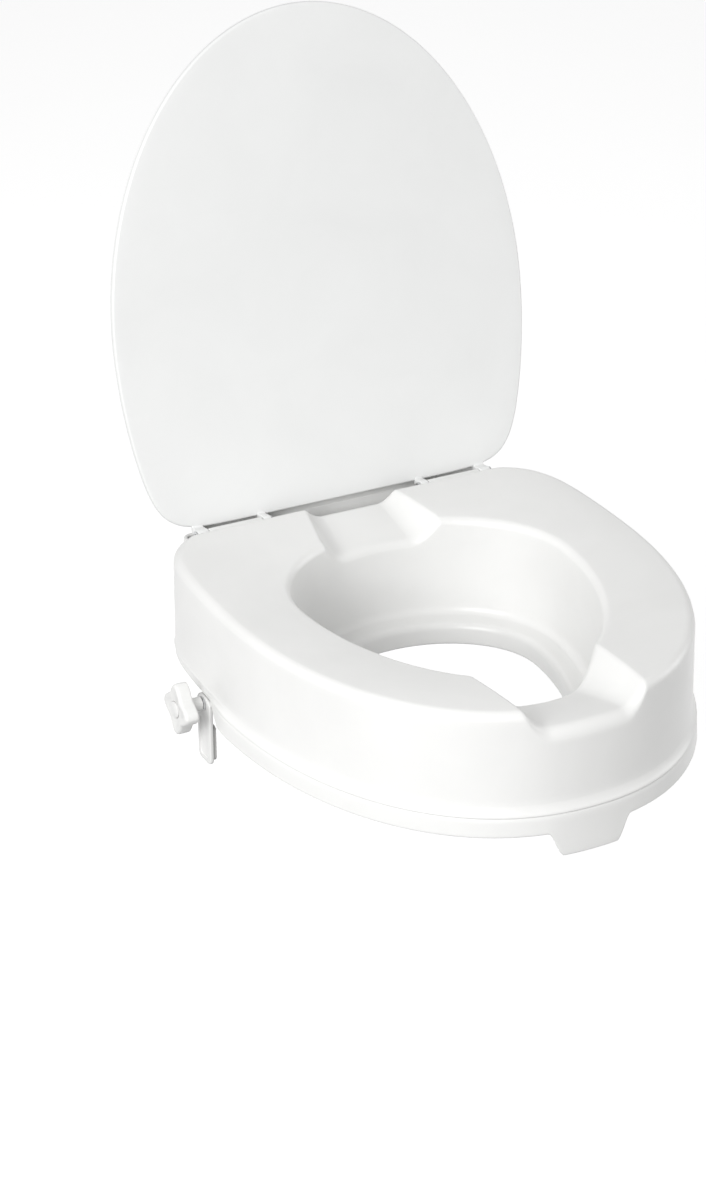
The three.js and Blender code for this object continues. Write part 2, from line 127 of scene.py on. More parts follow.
# Clamp, drawn on the +X side.
CLAMP_Y, CLAMP_Z = axis_of("knob_turn_right")
CLAMP_RIB = 5.7                    # from the clamp's middle, so its ribs end just inside the boss's faces
BOSS = {"x": (150, 174), "half": 7.5, "z": (0.8, 20), "slot_x": (158, 165), "slot_half": 5.9,
        "slot_top": 10.05}
ARM = {"near": 8.2, "far": 11.7, "z": (1.0, 8.6)}
BOLT_RADIUS = 3.0
BOLT_HEAD = {"flats": 10, "length": 4.0}
BOLT_BORE = 3.35
NUT = {"x": (159, 164), "flats": 9.4, "bore": 3.3}
WASHER_RADIUS = 6.0
KNOB = {"back": 203.4, "front": 215.4, "reach": 23, "hollow": 7, "rounding": 3.0, "neck": 6.0}

# Where points crowd together round an outline: degrees from the rear middle, spread, extra density.
CROWDS = ((22, 12, 0.9), (47, 9, 1.0), (166, 12, 1.1))


# ---------------------------------------------------------------- meshes
CRISP = 35                         # edges bent by more degrees than this stay crisp
BEVEL_FROM = 28                    # and those bent by more than this are rounded by a bevel


def new_object(name, vertices, faces, sharp=None):
    """A mesh object from points in millimetres. Edges bent by more than sharp degrees stay crisp."""
    mesh = bpy.data.meshes.new(name)
    mesh.from_pydata((np.asarray(vertices, float) * MM).tolist(), [], faces)
    finish_mesh(mesh, sharp)
    obj = bpy.data.objects.new(name, mesh)
    bpy.context.scene.collection.objects.link(obj)
    return obj


def finish_mesh(mesh, sharp=None):
    bm = bmesh.new()
    bm.from_mesh(mesh)
    bmesh.ops.recalc_face_normals(bm, faces=bm.faces)
    bm.to_mesh(mesh)
    bm.free()
    mesh.polygons.foreach_set("use_smooth", [True] * len(mesh.polygons))
    if sharp:
        mesh.set_sharp_from_angle(angle=math.radians(sharp))
    mesh.update()


def apply_modifiers(obj, sharp=None):
    depsgraph = bpy.context.evaluated_depsgraph_get()
    evaluated = obj.evaluated_get(depsgraph)
    mesh = bpy.data.meshes.new_from_object(evaluated)
    obj.modifiers.clear()
    obj.data = mesh
    finish_mesh(mesh, sharp)


def bevel(obj, width, segments=3):
    """Rounds the edges of a piece, width in millimetres."""
    modifier = obj.modifiers.new("round", "BEVEL")
    modifier.width = width * MM
    modifier.segments = segments
    modifier.limit_method = "ANGLE"
    modifier.angle_limit = math.radians(BEVEL_FROM)
    modifier.use_clamp_overlap = True
    apply_modifiers(obj, CRISP)


def lofted(name, rings, sharp=CRISP):
    """A solid through rings that all have the same number of points, closed by a flat face at each end."""
    count = len(rings[0])
    last = (len(rings) - 1) * count
    faces = strips(len(rings), count, False)
    faces += [list(range(count))[::-1], list(range(last, last + count))]
    return new_object(name, np.concatenate([np.asarray(ring, float) for ring in rings]), faces, sharp)


def prism_x(name, outline, x0, x1):
    """An outline of (y, z) points made solid from x0 to x1."""
    return lofted(name, [[(x, y, z) for y, z in outline] for x in (x0, x1)])


def prism_z(name, outline, z0, z1):
    """An outline of (x, y) points made solid from z0 to z1."""
    return lofted(name, [[(x, y, z) for x, y in outline] for z in (z0, z1)])


def rod_x(name, y, z, radius, x0, x1, sides=32):
    """A plain round rod along X, used to cut bores."""
    return prism_x(name, arc_points(y, z, radius, 0, 360 - 360 / sides, sides), x0, x1)


def rounded_box(name, x0, x1, y0, y1, z0, z1, rounding):
    obj = prism_z(name, [(x0, y0), (x1, y0), (x1, y1), (x0, y1)], z0, z1)
    bevel(obj, rounding, 3)
    return obj


def turned_rings(profile, y, z, count):
    """Rings about an axis along X through (y, z), one for each (x, radius) point of the profile."""
    turns = np.linspace(0, 2 * math.pi, count, endpoint=False)
    return [[(x, y + r * math.cos(t), z + r * math.sin(t)) for t in turns] for x, r in profile]


def turned_x(name, profile, y, z, count=64, sharp=CRISP):
    """A solid of revolution about an axis along X."""
    return lofted(name, turned_rings(profile, y, z, count), sharp)


def washer_x(name, x0, x1, inner, outer, y, z, count=64):
    """A washer or sleeve about an axis along X, with rounded edges."""
    b = 0.25
    profile = [(x0 + b, outer), (x0 + 0.3 * b, outer - 0.3 * b), (x0, outer - b), (x0, inner + b),
               (x0 + b, inner), (x1 - b, inner), (x1, inner + b), (x1, outer - b),
               (x1 - 0.3 * b, outer - 0.3 * b), (x1 - b, outer)]
    rings = turned_rings(profile, y, z, count)
    return new_object(name, np.concatenate(rings), strips(len(rings), count, True), CRISP)


def strips(rows, count, hoop):
    """Quads between rings of points. A hoop also joins its last ring to its first."""
    faces = []
    for i in range(rows if hoop else rows - 1):
        a = i * count
        b = ((i + 1) % rows) * count
        faces += [[a + j, a + (j + 1) % count, b + (j + 1) % count, b + j] for j in range(count)]
    return faces


def arc_points(cy, cz, radius, start, end, count):
    """Points on a circle from start to end, in degrees."""
    turns = np.radians(np.linspace(start, end, count))
    return [(cy + radius * math.cos(t), cz + radius * math.sin(t)) for t in turns]


def rounded_rect(x0, x1, y0, y1, radius, count=7):
    return (arc_points(x1 - radius, y0 + radius, radius, -90, 0, count)
            + arc_points(x1 - radius, y1 - radius, radius, 0, 90, count)
            + arc_points(x0 + radius, y1 - radius, radius, 90, 180, count)
            + arc_points(x0 + radius, y0 + radius, radius, 180, 270, count))


def cut(obj, *cutters, sharp=CRISP):
    """Subtracts the cutters from a piece and removes them."""
    for cutter in cutters:
        modifier = obj.modifiers.new("cut", "BOOLEAN")
        modifier.operation = "DIFFERENCE"
        modifier.solver = "EXACT"
        modifier.object = cutter
        apply_modifiers(obj, sharp)
        bpy.data.objects.remove(cutter)


def join(name, pieces):
    """Joins several pieces into one object."""
    joined = bmesh.new()
    for piece in pieces:
        piece.data.transform(piece.matrix_world)
        joined.from_mesh(piece.data)
    mesh = bpy.data.meshes.new(name)
    joined.to_mesh(mesh)
    joined.free()
    for piece in pieces:
        bpy.data.objects.remove(piece)
    obj = bpy.data.objects.new(name, mesh)
    bpy.context.scene.collection.objects.link(obj)
    return obj


# ---------------------------------------------------------------- outlines
def mix(a, b, share):
    return a + (b - a) * share


def clamp01(value):
    return np.clip(value, 0.0, 1.0)


def smooth01(value):
    t = clamp01(value)
    return t * t * (3 - 2 * t)


def soft_positive(value, width):
    """max(0, value) with its kink rounded over a width either side."""
    return np.where(value > width, value, np.where(value < -width, 0, (value + width) ** 2 / (4 * width)))


def outline_point(outline, angle, offset):
    """Points of an outline in the directions given, moved outward by an offset."""
    c, s = np.cos(angle), np.sin(angle)
    front = s < 0
    n = np.where(front, outline["front_n"], outline["rear_n"])
    width = outline["half"] + offset
    length = np.where(front, outline["front"], outline["rear"]) + offset
    reach = (np.abs(c / width) ** n + np.abs(s / length) ** n) ** (-1 / n)
    narrowing = 1 - np.where(front, 0, outline["taper"]) * (reach * s / length) ** 2
    return reach * c * narrowing, reach * s + outline["mid_y"]


def seat_point(angle, offset):
    x, y = outline_point(SEAT, angle, offset)
    flat = REAR_FACE + offset
    return x, flat - soft_positive(flat - y, 2.5)


def sweep_angles(count):
    """Angles round an outline, closest together at the rear corners and at both recesses."""
    step = 0.25
    turn = np.arange(step / 2, 360, step)
    from_rear = np.minimum(turn, 360 - turn)
    density = 0.75 + sum(extra * np.exp(-(((from_rear - at) / spread) ** 2))
                         for at, spread, extra in CROWDS)
    total = np.concatenate([[0], np.cumsum(density)])
    turns = np.interp(np.arange(count) / count * total[-1], total, np.arange(0, 360 + step / 2, step))
    return np.radians(90 + turns)


# ---------------------------------------------------------------- seat shell
def recess(x, y, dip):
    """Depth of a hygiene recess: a crisp upper edge, sloping sides and a soft floor."""
    near, far = dip["at"]
    out = clamp01((y - near) / (far - near))
    top, floor, depth = (mix(*dip[key], out) for key in ("top", "floor", "depth"))
    s = clamp01(soft_positive(top - np.abs(x), 1.6) / (top - floor))
    return depth * (1 - (1 - s) ** 2)


def dip_depth(x, y):
    return np.where(y < -130, recess(x, y, FRONT_DIP), np.where(y > 40, recess(x, y, REAR_DIP), 0))


def section_run(start, *steps):
    """Rows of a section, each (share, offset, height).

    Share is 0 on the opening's outline and 1 on the seat's. A step is (count, end) for a straight run or
    (count, corner, end) for a rounded corner.
    """
    rows = [np.array(start, float)]
    for step in steps:
        count, points = step[0], [np.array(p, float) for p in step[1:]]
        here = rows[-1]
        for i in range(1, count + 1):
            t = i / count
            if len(points) == 1:
                rows.append(mix(here, points[0], t))
            else:
                corner, end = points
                a = t * math.pi / 2
                rows.append(corner + (here - corner) * (1 - math.sin(a))
                            + (end - corner) * (1 - math.cos(a)))
    return rows


def funnel_rows():
    """From the lower lip of the opening up to the start of the top face."""
    return section_run(
        (0, -24.6, THROAT_Z),
        (4, (0, -27, THROAT_Z), (0, -26.8, THROAT_Z + 2.4)),
        (6, (0, -26.3, 2.2)),
        (10, (0, -25.9, 7.7), (0, -20.5, 8.1)),
        (4, (0, -11.0, 8.9)),
        (9, (0, -5.4, 9.6), (0, -5.1, 17)),
        (22, (0, -2.4, 88.6)),
        (9, (0, -1.9, 94.6), (0, 3.8, 95.4)),
    )


def top_rows(count=38):
    """The slightly crowned top face, from the opening to the outer edge."""
    rows = []
    for i in range(1, count):
        t = i / count
        rows.append(np.array([t, mix(3.8, EDGE_START, t), mix(95.4, 99.9, 1 - (1 - t) ** 1.8)]))
    return rows


def wall_rows():
    """The rounded outer edge, the side wall, the step and the skirt down to its lower edge."""
    return section_run(
        (1, EDGE_START, 99.9),
        (14, (1, 1.6, 100.05), (1, EDGE_OFFSET, RISE - EDGE_DROP)),
        (14, (1, STEP_ROOT, STEP_TOP)),
        (8, (1, 3.4, 17.2), (1, 5.9, 14.3)),
        (4, (1, 6.7, 13.4), (1, 6.6, 12.2)),
        (4, (1, 5.0, 11.5), (1, 6.2, 10.5)),
        (2, (1, 6.7, 8.6)),
        (8, (1, FLARE - 0.05, SKIRT_Z + 1.8)),
        (4, (1, FLARE, SKIRT_Z), (1, FLARE - 1.5, SKIRT_Z)),
        (4, (1, FLARE - WALL, SKIRT_Z), (1, FLARE - WALL - 0.1, SKIRT_Z + 1.5)),
    )


def inside_rows():
    """The hollow underside, from the skirt back to the lower lip of the opening."""
    return section_run(
        (1, FLARE - WALL - 0.1, SKIRT_Z + 1.5),
        (4, (1, SKIRT_ROOT - WALL, STEP_Z - 2)),
        (8, (1, 2 - WALL, 88)),
        (4, (1, 1.4 - WALL, CAVITY_TOP), (1, -8, CAVITY_TOP)),
        (12, (0, 8, CAVITY_TOP - 4)),
        (4, (0, 1.6, CAVITY_TOP - 5), (0, 0.9, 84)),
        (8, (0, -1.8, 30)),
        (5, (0, -1.8, 5.8), (0, -12, 5.2)),
        (2, (0, -19, 4.7)),
        (3, (0, -22.4, 4.2), (0, -22.8, 0)),
        (4, (0, -23.5, THROAT_Z + 1.2)),
        (2, (0, -23.5, THROAT_Z), (0, -24.6, THROAT_Z)),
    )[1:-1]


def tab_edge(x):
    """Height of the skirt's lower edge: it drops to the tab in the middle of the front."""
    return mix(TAB_Z, SKIRT_Z, smooth01((np.abs(x) - 23.5) / 13))


def soft_share(x, y):
    """Share of the front recess at its outer edge, 1 in the middle."""
    return np.where(y < 0, recess(x, FRONT_DIP["at"][1], FRONT_DIP) / FRONT_DIP["depth"][1], 0)


def soft_drop(drop, soft):
    """Depth below the top face on the outer side wall, with its rounded edge enlarged."""
    wall = RISE - STEP_TOP
    end = np.interp(drop, [EDGE_DROP, wall], [1.0, 0.0])
    return drop + EDGE_DROP * soft * end if drop > EDGE_DROP else drop * (1 + soft)


def section_points(row, angle):
    """One ring of the shell."""
    share, offset, height = row
    if share == 1:
        x, y = seat_point(angle, offset)
        z = np.full_like(x, height)
        if height < STEP_Z + 6 and offset > STEP_ROOT:
            flare = clamp01((30 - y) / 40)
            x, y = seat_point(angle, mix(STEP_ROOT, offset, flare))
        elif height > STEP_TOP and offset > EDGE_START - 0.1:
            soft = SOFT_GROW * soft_share(x, y)
            x, y = seat_point(angle, offset - max(0.0, EDGE_OFFSET - offset) * soft)
            z = RISE - soft_drop(RISE - height, soft)
        hang = clamp01((9 - height) / 12) * (y < 0)
        z = z + hang * (tab_edge(x) - SKIRT_Z)
        skirt_end = np.clip(SKIRT_Z - 1 + (y - 2) * (STEP_Z + 0.3 - SKIRT_Z) / 15, -100, STEP_Z - 0.7)
        z = np.where(y > 0, np.maximum(z, skirt_end), z)
    else:
        hole = outline_point(HOLE, angle, offset)
        seat = seat_point(angle, offset)
        if share > 0 and offset > EDGE_START - 0.1 and height > 95:
            soft = SOFT_GROW * soft_share(*seat)
            seat = seat_point(angle, offset - (EDGE_OFFSET - EDGE_START) * soft)
        x, y = mix(hole[0], seat[0], share), mix(hole[1], seat[1], share)
        z = np.full_like(x, height)
    sink = clamp01((z - 44) / 46)
    return np.stack([x, y, z - dip_depth(x, y) * sink], axis=1)


def shell_surface():
    """The whole wall of the shell as one closed hoop, with its notches and hollows at the hinge."""
    angles = sweep_angles(AROUND_SEAT)
    rows = funnel_rows() + top_rows() + wall_rows() + inside_rows()
    vertices = np.concatenate([section_points(row, angles) for row in rows])
    surface = new_object("shell_surface", vertices, strips(len(rows), len(angles), True), 60)
    cut(surface, ear_notches(), pin_end_hollows(), sharp=60)
    return surface


def ear_notches():
    """Notches in the seat's rear edge for the lid's eyes to turn in."""
    r = EAR_RADIUS + EAR_GAP
    outline = ([(AXIS_Y + r, RISE + 2), (REAR_FACE, RISE + 2)]
               + arc_points(AXIS_Y, AXIS_Z, r, 160, 360, 28))
    spans = [sorted((sign * (x0 - EAR_GAP), sign * (x1 + EAR_GAP))) for x0, x1 in EARS for sign in (-1, 1)]
    return join("ear_notches", [prism_x("notch", outline, *span) for span in spans])


def pin_end_hollows():
    """Round hollows in the seat's rear wall for the heads and tails of the hinge pins."""
    r = EAR_RADIUS + EAR_GAP
    spans = [sorted((sign * x0, sign * x1)) for x0, x1 in PIN_ENDS for sign in (-1, 1)]
    return join("pin_ends", [rod_x("hollow", AXIS_Y, AXIS_Z, r, *span, 36) for span in spans])


def ray_distance(row, centre, direction):
    """Distance from centre to a ring of the shell along a direction."""
    angles = np.linspace(0, 2 * math.pi, 1440, endpoint=False)
    points = section_points(row, angles)
    away = points[:, :2] - centre
    forward = away @ direction
    across = away @ np.array([-direction[1], direction[0]])
    ahead = np.where(forward > 0, np.abs(across), np.inf)
    nearest = int(np.argmin(ahead))
    return forward[nearest], points[nearest, 2]


def rib(name, centre, degrees, bottom=4.0):
    """A stiffening rib under the top, from the opening's wall to the side wall."""
    direction = np.array([math.cos(math.radians(degrees)), math.sin(math.radians(degrees))])
    edge = [(0, -23.2, bottom), (0, -12, 7), (0, -3.8, 9), (0, -3.2, 34), (0, 0.2, 84),
            (0, 3, CAVITY_TOP - 4.4), (0.5, 0, CAVITY_TOP - 1.5), (1, -4, CAVITY_TOP), (1, -0.8, 88),
            (1, 0.4, 14), (1, 1.2, bottom)]
    if bottom > 10:
        edge = [(0, -3.6, bottom)] + edge[3:-2] + [(1, 0.6, bottom)]
    flat = [ray_distance(row, centre, direction) for row in edge]
    side = np.array([-direction[1], direction[0]]) * RIB_THICK / 2
    obj = lofted(name, [[(*(centre + direction * reach + side * sign), z) for reach, z in flat]
                        for sign in (-1, 1)])
    bevel(obj, 0.5, 2)
    return obj


def pad_frame(degrees):
    """A pad's centre, the direction along it and the direction outward."""
    a = math.radians(degrees)
    out = np.array([math.cos(a), math.sin(a)])
    return RIB_CENTRE + PAD_RING * out, np.array([-math.sin(a), math.cos(a)]), out


def pad_outline(degrees, length, width):
    """A rounded block across a rib, as (x, y) points."""
    centre, along, out = pad_frame(degrees)
    return [tuple(centre + out * p + along * q)
            for p, q in rounded_rect(-width / 2, width / 2, -length / 2, length / 2, 5.0)]


def shell_ribs():
    pieces = []
    for sign in (-1, 1):
        for degrees in RIB_ANGLES:
            pieces.append(rib("rib", RIB_CENTRE, degrees if sign > 0 else 180 - degrees))
        for offset in (-CLAMP_RIB, CLAMP_RIB):
            pieces.append(rib("clamp_rib", np.array([0.0, CLAMP_Y + offset]), 0 if sign > 0 else 180, 14))
    for degrees in PAD_ANGLES.values():
        foot = prism_z("foot", pad_outline(degrees, *FOOT_SIZE), 3.9, 7.2)
        bevel(foot, 0.5, 2)
        pieces.append(foot)
    return pieces


def clamp_boss(sign):
    """The block that holds a captive nut and guides the jaw's arms."""
    x0, x1 = sorted(sign * x for x in BOSS["x"])
    y0, y1 = CLAMP_Y - BOSS["half"], CLAMP_Y + BOSS["half"]
    z0, z1 = BOSS["z"]
    boss = prism_x("boss", [(y0, z0), (y1, z0), (y1, z1), (y0, z1)], x0, x1)
    bevel(boss, 0.8, 3)
    slot_outline = rounded_rect(CLAMP_Y - BOSS["slot_half"], CLAMP_Y + BOSS["slot_half"], -3,
                                BOSS["slot_top"], 0.5, 3)
    slot = prism_x("slot", slot_outline, *sorted(sign * x for x in BOSS["slot_x"]))
    cut(boss, slot, rod_x("bore", CLAMP_Y, CLAMP_Z, BOLT_BORE, x0 - 5, x1 + 5))
    return boss


def hinge_barrel(sign):
    """The two knuckles that run on from the top face and carry the hinge pins."""
    x0, x1 = sorted((sign * BARREL[0], sign * BARREL[1]))
    r = BARREL_RADIUS
    outline = ([(REAR_FACE, AXIS_Z + r)] + arc_points(AXIS_Y, AXIS_Z, r, 90, -90, 28)
               + [(REAR_FACE, AXIS_Z - r)])
    barrel = prism_x("barrel", outline, x0, x1)
    bevel(barrel, 0.6, 3)
    cut(barrel, rod_x("bore", AXIS_Y, AXIS_Z, PIN_BORE, x0 - 5, x1 + 5))
    return barrel


def hinge_ledge():
    """Tray behind the seat: a floor, low side walls and the lip that the open lid leans on."""
    half, back, corner, lip_half = (LEDGE[key] for key in ("half", "back", "corner", "lip_half"))

    def outline(inset):
        edge = ([(half - inset, REAR_FACE + 1.0)]
                + arc_points(half - corner, back - corner, corner - inset, 0, 90, 9))
        return edge + [(-x, y) for x, y in reversed(edge)]

    floor_plate = prism_z("ledge_floor", outline(1.5), LEDGE["floor"] + 0.5, LEDGE["floor"] + 4)
    wall = prism_z("ledge_wall", outline(0) + outline(WALL)[::-1], LEDGE["floor"], LEDGE["top"])
    lip_front, lip_back = back - WALL + 0.3, back - LEDGE["lip_inset"]
    lip = prism_z("ledge_lip", [(-lip_half, lip_front), (lip_half, lip_front), (lip_half, lip_back),
                                (-lip_half, lip_back)], LEDGE["floor"] + 1, LEDGE["lip_top"])
    for piece, rounding in ((floor_plate, 0.4), (wall, 1.0), (lip, 1.2)):
        bevel(piece, rounding, 3)
    return [floor_plate, wall, lip]


def build_seat_shell():
    pieces = [shell_surface()] + shell_ribs() + hinge_ledge()
    for sign in (-1, 1):
        pieces += [clamp_boss(sign), hinge_barrel(sign)]
    return join("seat_shell_moulding", pieces)


# ---------------------------------------------------------------- lid
def lid_point(angle, offset, scale):
    x, y = outline_point(LID, angle, offset)
    return x * scale, LID["mid_y"] + (y - LID["mid_y"]) * scale


def lid_panel_surface():
    """The closed lid about its hinge axis: a slightly dished underside, a rounded rim and a domed top."""
    angles = sweep_angles(AROUND_LID)
    under, top = LID_UNDER, LID_UNDER + LID_EDGE
    scales = np.linspace(0.04, 1, 16)
    levels = [(-18, s, under + 0.15 + 0.8 * (1 - s ** 2)) for s in scales]
    levels += [(-11, 1, under + 0.05), (-2, 1, under)]
    levels += [(-2 + 2 * math.sin(a), 1, under + 2 * (1 - math.cos(a)))
               for a in np.linspace(0.2, 1.5, 7)]
    levels += [(0, 1, under + 3.5), (0, 1, top - 4)]
    levels += [(-3.6 * (1 - math.cos(a)), 1, top - 3.6 + 3.6 * math.sin(a))
               for a in np.linspace(0.15, 1.5, 8)]
    levels += [(-10, 1, top + 0.6), (-20, 1, top + 1.1)]
    levels += [(-30, s, top + 1.5 + 1.6 * (1 - s ** 2)) for s in scales[::-1]]
    rings = []
    for offset, scale, z in levels:
        x, y = lid_point(angles, offset, scale)
        rings.append(np.stack([x, y, np.full_like(x, z)], axis=1))
    return lofted("lid_panel", rings, 50)


def lid_ear(x0, x1):
    """An eye on the lid that the hinge pin passes through."""
    r, root = EAR_RADIUS, LID_UNDER + 3
    outline = ([(-13.5, root), (-13.5, LID_UNDER + 0.6), (-r - 1.2, LID_UNDER), (-r, LID_UNDER - 1.6)]
               + arc_points(0, 0, r, 180, 360, 26) + [(-0.8, LID_UNDER - 2.4), (-0.8, root)])
    ear = prism_x("ear", outline, x0, x1)
    bevel(ear, 0.8, 3)
    cut(ear, rod_x("bore", 0, 0, PIN_BORE, x0 - 5, x1 + 5))
    return ear


def build_lid():
    """The lid with its eyes, turned to where it stands open."""
    pieces = [lid_panel_surface()]
    for sign in (-1, 1):
        for ear in EARS:
            pieces.append(lid_ear(*sorted((sign * ear[0], sign * ear[1]))))
    lid = join("lid_moulding", pieces)
    opened = Matrix.Translation((0, AXIS_Y * MM, AXIS_Z * MM)) @ Matrix.Rotation(-LID_OPEN, 4, "X")
    lid.data.transform(opened)
    return lid


# ---------------------------------------------------------------- hinge hardware
def build_hinge_pin(name, sign):
    """A plain pin with a flat head at its inner end and a chamfered tail."""
    head, neck, tail = (sign * x for x in (69.2, 70.8, 140.4))
    r = PIN_RADIUS
    profile = [(head, 3.4), (head + sign * 0.25, 4.2), (head + sign * 0.7, 4.6), (neck - sign * 0.1, 4.6),
               (neck + sign * 0.1, 4.4), (neck + sign * 0.1, r), (tail - sign * 1.2, r), (tail, 1.6)]
    return turned_x(name, profile, AXIS_Y, AXIS_Z)


def build_hinge_clip(name, sign):
    """A push-on star washer that holds the pin."""
    x0, x1 = sorted((sign * 139, sign * 139.9))
    return washer_x(name, x0, x1, PIN_RADIUS + 0.25, 5.0, AXIS_Y, AXIS_Z, 48)


# ---------------------------------------------------------------- clamps, drawn on the +X side
def mirrored(obj, sign):
    """Turns a piece drawn on the +X side into its mirror image when sign is -1."""
    if sign < 0:
        obj.data.transform(Matrix.Scale(-1, 4, (1, 0, 0)))
        finish_mesh(obj.data, CRISP)
    return obj


def build_clamp_jaw(name):
    """A leg that reaches down beside the bowl, with two arms that slide either side of the boss."""
    low, high = node_box("clamp_jaw_right")
    outer, inner, bottom, top = high[0], high[0] - WALL, low[2], high[2]
    leg = prism_x("leg", rounded_rect(low[1], high[1], bottom, top, 6, 9), inner, outer)
    bevel(leg, 1.1, 4)
    margin = 4.5
    panel_outline = rounded_rect(low[1] + margin, high[1] - margin, bottom + margin, -9, 3.5, 7)
    panel = prism_x("panel", panel_outline, outer - 0.8, outer + 2)
    bevel(panel, 0.35, 2)
    cut(leg, panel, rod_x("hole", CLAMP_Y, CLAMP_Z, BOLT_BORE, 180, 200))
    arms = []
    for hand in (-1, 1):
        y0, y1 = sorted((CLAMP_Y + hand * ARM["near"], CLAMP_Y + hand * ARM["far"]))
        arms.append(rounded_box("arm", low[0], outer - 1.5, y0, y1, *ARM["z"], 0.6))
    return join(name, [leg] + arms)


def build_jaw_pad(name):
    """A soft pad with grip ribs on its inner face."""
    low, high = node_box("jaw_pad_right")
    body = prism_x("pad_body", rounded_rect(low[1], high[1], low[2], high[2], 4, 7), low[0] + 0.9, high[0])
    bevel(body, 0.5, 3)
    pieces = [body]
    count, margin, half_rib = 7, 1.5, 1.2
    pitch = (high[2] - low[2] - 2 * margin) / count
    for i in range(count):
        z = low[2] + margin + (i + 0.5) * pitch
        pieces.append(rounded_box("grip", low[0], low[0] + 1.5, low[1] + 1.8, high[1] - 1.8, z - half_rib,
                                  z + half_rib, 0.5))
    return join(name, pieces)


def hexagon(flats):
    """A hexagon about the clamp's axis, by its width across flats."""
    return arc_points(CLAMP_Y, CLAMP_Z, flats / 2 / math.cos(math.pi / 6), 0, 300, 6)


def build_clamp_bolt(name):
    """A hexagon-head bolt with a rolled thread of 1 mm pitch."""
    low, high = node_box("clamp_bolt_right")
    shoulder = high[0] - BOLT_HEAD["length"]
    plain_shank, pitch, depth, tip_radius = 14, 1.0, 0.38, 2.3
    around, per_pitch = 24, 6
    x = np.arange(low[0], shoulder - plain_shank, pitch / per_pitch)
    turns = np.linspace(0, 2 * math.pi, around, endpoint=False)
    grid_x, grid_t = np.meshgrid(x, turns, indexing="ij")
    phase = (grid_x / pitch - grid_t / (2 * math.pi)) % 1
    radius = BOLT_RADIUS - depth * np.abs(2 * phase - 1)
    radius = np.minimum(radius, tip_radius + np.maximum(0, grid_x - low[0]))
    across, up = CLAMP_Y + radius * np.cos(grid_t), CLAMP_Z + radius * np.sin(grid_t)
    thread = lofted("thread", np.stack([grid_x, across, up], axis=-1), 60)
    shank_profile = [(x[-1] - 0.4, BOLT_RADIUS - 0.5), (x[-1], BOLT_RADIUS), (shoulder + 0.2, BOLT_RADIUS)]
    shank = turned_x("shank", shank_profile, CLAMP_Y, CLAMP_Z, 48)
    head = prism_x("head", hexagon(BOLT_HEAD["flats"]), shoulder, high[0])
    bevel(head, 0.5, 3)
    return join(name, [thread, shank, head])


def build_clamp_nut(name):
    nut = prism_x(name, hexagon(NUT["flats"]), *NUT["x"])
    bevel(nut, 0.5, 3)
    cut(nut, rod_x("bore", CLAMP_Y, CLAMP_Z, NUT["bore"], 150, 170))
    return nut


def build_clamp_washer(name):
    low, high = node_box("clamp_washer_right")
    return washer_x(name, low[0], high[0], BOLT_BORE, WASHER_RADIUS, CLAMP_Y, CLAMP_Z)


def knob_ring(x, shrink):
    """Four rounded lobes with finger hollows between them."""
    turns = np.linspace(0, 2 * math.pi, 120, endpoint=False)
    reach = KNOB["reach"] - KNOB["hollow"] * np.abs(np.sin(2 * turns)) ** 1.6 - shrink
    return [(x, CLAMP_Y + r * math.cos(t), CLAMP_Z + r * math.sin(t)) for r, t in zip(reach, turns)]


def build_clamp_knob(name):
    """A four-lobed hand knob with softly rounded lobes, a dished face and a neck."""
    back, front, neck_end = KNOB["back"], KNOB["front"], node_box("clamp_knob_right")[0][0]
    rounding, neck_radius = KNOB["rounding"], KNOB["neck"]
    levels = [(back, 8.0), (back, 4.5)]
    levels += [(back + 2 * (1 - math.cos(a)), 2 * (1 - math.sin(a)))
               for a in np.linspace(0, math.pi / 2, 6)]
    levels += [(front - rounding + rounding * math.sin(a), rounding * (1 - math.cos(a)))
               for a in np.linspace(0, math.pi / 2, 8)]
    levels += [(front - 0.1, 5.0), (front - 0.7, 7.0)]
    body = lofted("knob_body", [knob_ring(x, shrink) for x, shrink in levels], 50)
    neck_profile = [(neck_end, neck_radius - 1.0), (neck_end + 0.3, neck_radius - 0.3),
                    (neck_end + 1.0, neck_radius), (back - 2.5, neck_radius),
                    (back - 0.8, neck_radius + 0.6), (back + 0.6, neck_radius + 2.5)]
    neck = turned_x("neck", neck_profile, CLAMP_Y, CLAMP_Z)
    cut(neck, rod_x("bore", CLAMP_Y, CLAMP_Z, BOLT_BORE, 185, 212))
    pocket = prism_x("pocket", hexagon(BOLT_HEAD["flats"] + 0.8), 207.0, 220)
    cap_seat = rod_x("cap_seat", CLAMP_Y, CLAMP_Z, 7.4, front - 1.6, 220, 48)
    through = rod_x("through", CLAMP_Y, CLAMP_Z, BOLT_BORE, 190, 212)
    cut(body, pocket, cap_seat, through, sharp=50)
    return join(name, [body, neck])


def build_knob_cap(name):
    """A low domed cap over the bolt's head."""
    low, high = node_box("knob_cap_right")
    x = low[0]
    profile = [(x, 6.4), (x + 0.3, 6.9), (x + 0.8, 7.0), (x + 1.3, 6.9), (x + 1.7, 6.3), (x + 2.1, 5.2),
               (x + 2.4, 3.6), (x + 2.55, 1.8), (high[0], 0.3)]
    return turned_x(name, profile, CLAMP_Y, CLAMP_Z, 64, 60)


